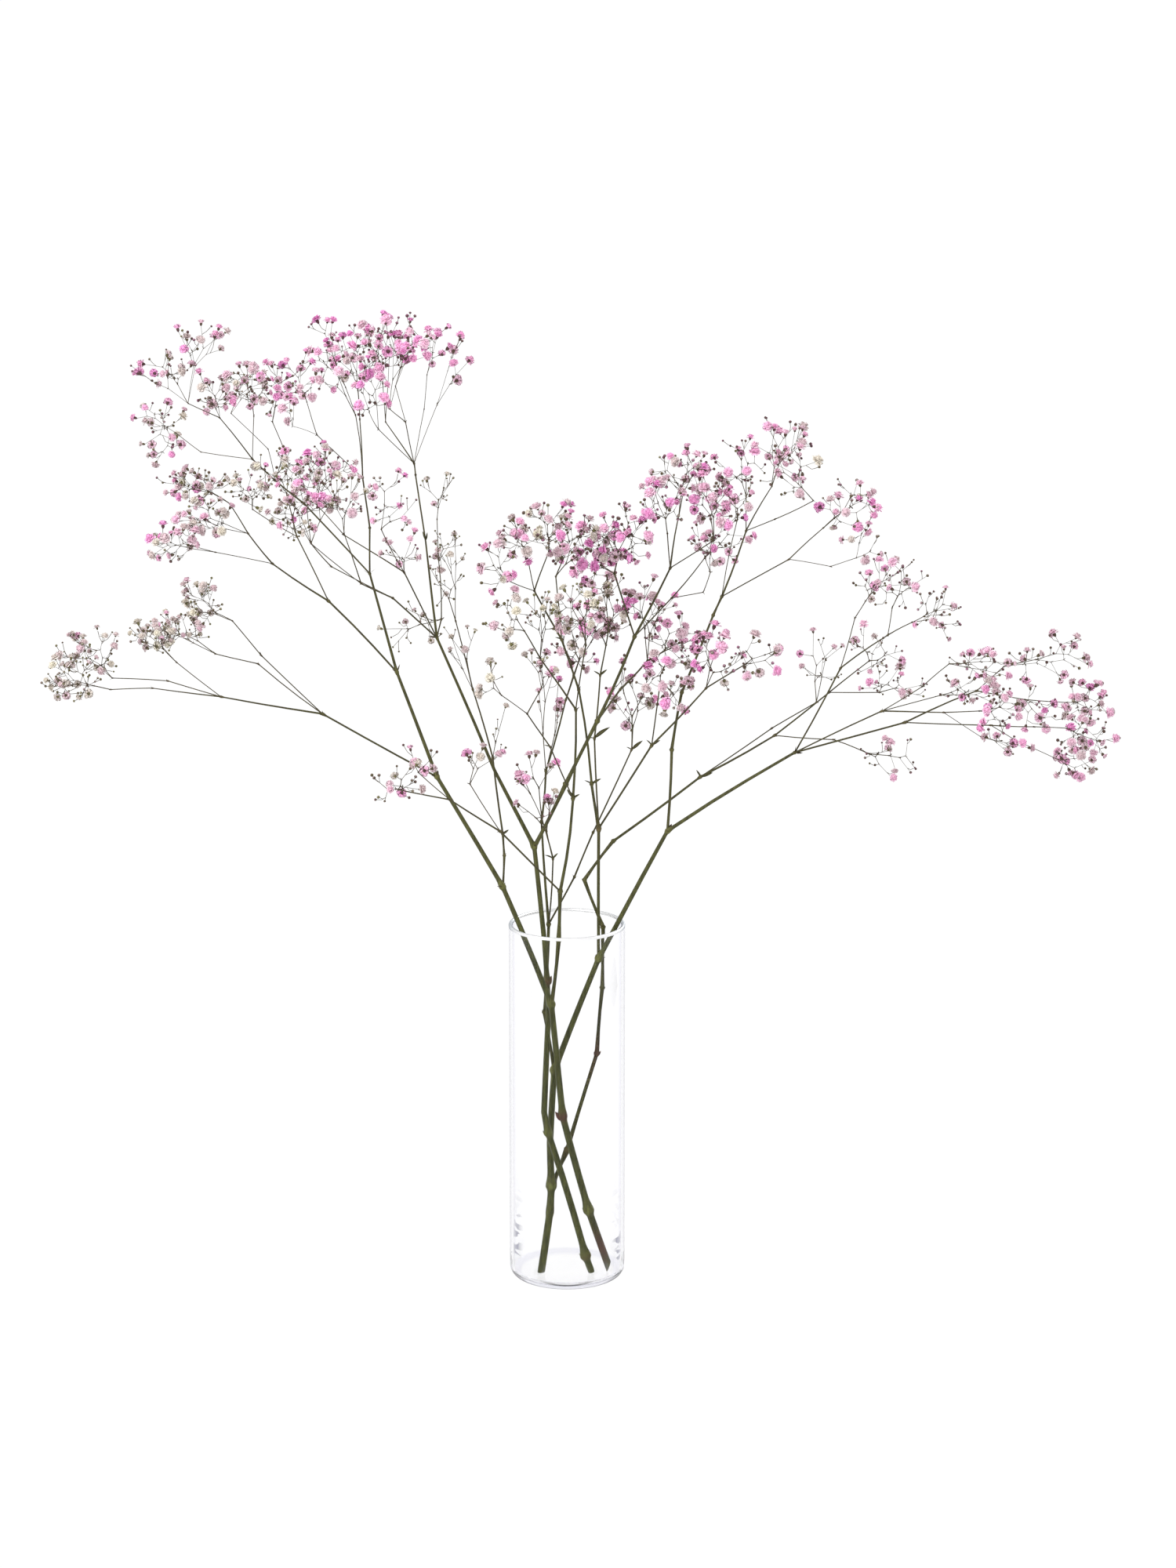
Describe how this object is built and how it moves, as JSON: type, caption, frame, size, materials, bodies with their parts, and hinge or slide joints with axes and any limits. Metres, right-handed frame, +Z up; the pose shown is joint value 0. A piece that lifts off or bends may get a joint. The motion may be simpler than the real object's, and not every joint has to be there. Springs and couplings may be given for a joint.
{
  "type": "vase of dried gypsophila stems",
  "caption": "Cut stems of dried gypsophila with airy sprays of small pink double blooms, standing in a clear glass cylinder vase",
  "frame": {"origin": "the middle of the flat foot that the vase stands on", "axes": "+Z up; +X along the widest spread of the sprays, to the right as pictured; -Y towards the viewer"},
  "size_m": [0.7128, 0.2908, 0.6796],
  "materials": {
    "vase_glass": "clear and polished",
    "stem_green": "satin olive bark of a dried stem",
    "dried_bloom": "matt papery petals on thin brown-green twigs"
  },
  "bodies": {
    "root": {"glass_vase": "vase_glass", "left_stem": "stem_green", "middle_stem": "stem_green", "right_stem": "stem_green", "far_left_spray": "dried_bloom", "left_spray": "dried_bloom", "upper_left_spray": "dried_bloom", "top_left_spray": "dried_bloom", "inner_left_spray": "dried_bloom", "front_spray": "dried_bloom", "low_left_spray": "dried_bloom", "top_spray": "dried_bloom", "mid_left_spray": "dried_bloom", "inner_mid_spray": "dried_bloom", "middle_side_spray": "dried_bloom", "centre_right_spray": "dried_bloom", "centre_spray": "dried_bloom", "tall_spray": "dried_bloom", "right_low_spray": "dried_bloom", "back_spray": "dried_bloom", "long_right_spray": "dried_bloom", "upper_right_spray": "dried_bloom", "right_upper_spray": "dried_bloom", "right_mid_spray": "dried_bloom", "far_right_spray": "dried_bloom"}
  },
  "joints": []
}
